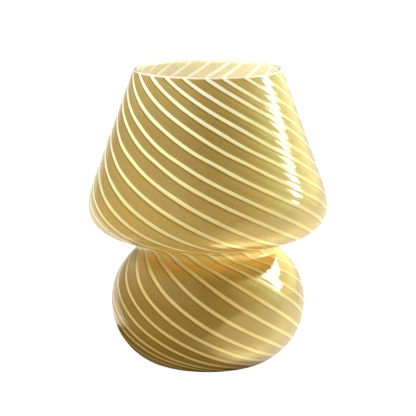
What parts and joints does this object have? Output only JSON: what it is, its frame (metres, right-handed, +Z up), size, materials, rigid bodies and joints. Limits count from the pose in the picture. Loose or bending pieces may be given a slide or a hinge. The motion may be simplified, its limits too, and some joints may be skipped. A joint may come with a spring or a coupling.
{
  "type": "mushroom table lamp",
  "caption": "Small mushroom-shaped table lamp in one piece of swirl-striped blown glass, open at the top, with a screw lampholder and bulb snapped into its waist.",
  "frame": {"origin": "on the surface the lamp stands on, under the middle of the foot", "axes": "+Z up along the lamp's axis of symmetry; -Y the front as pictured; +Y the back, where the cord enters"},
  "size_m": [0.145, 0.145, 0.1796],
  "materials": {
    "lamp_glass": "glossy, translucent",
    "clear_silicone": "satin",
    "dark_rubber": "matt",
    "white_paint": "satin",
    "spring_steel": "bright",
    "white_thermoplastic": "satin",
    "zinc_steel": "bright",
    "ceramic_body": "glazed",
    "brass": "bright",
    "contact_bronze": "bright",
    "solder": "satin",
    "black_vitrite": "glossy",
    "nickel_plate": "bright",
    "bulb_glass": "clear",
    "phosphor": "matt",
    "nickel_wire": "bright"
  },
  "bodies": {
    "lamp": {"glass_body": "lamp_glass", "foot_pads": "clear_silicone", "cord_grommet": "dark_rubber", "support_plate": "white_paint", "arm_boots": "clear_silicone", "spring_clips": "spring_steel", "clip_rivets": "spring_steel", "clamp_rings": "white_thermoplastic", "holder_skirt": "white_thermoplastic", "holder_dome": "white_thermoplastic", "inlet_bush": "white_thermoplastic", "inlet_nut": "zinc_steel", "contact_carrier": "ceramic_body", "terminal_blocks": "brass", "terminal_screws": "zinc_steel", "centre_contact": "contact_bronze", "side_contact": "contact_bronze", "screw_shell": "contact_bronze"},
    "bulb_lift": {"bulb_tip": "solder", "bulb_insulator": "black_vitrite"},
    "bulb": {"bulb_cap": "nickel_plate", "bulb_glass": "bulb_glass", "bulb_stem": "bulb_glass", "bulb_filaments": "phosphor", "filament_wires": "nickel_wire"}
  },
  "joints": [
    {"name": "bulb_travel", "type": "slide", "parent": "lamp", "child": "bulb_lift", "axis": [0, 0, 1], "range_m": [0, 0.0085]},
    {"name": "bulb_unscrew", "type": "hinge", "parent": "bulb_lift", "child": "bulb", "pos_m": [0, 0, 0.1], "axis": [0, 0, 1], "range_deg": [0, 1080]}
  ],
  "couplings": [
    {"joint": "bulb_travel", "follows": "bulb_unscrew", "m_per_rad": 0.00044914}
  ]
}
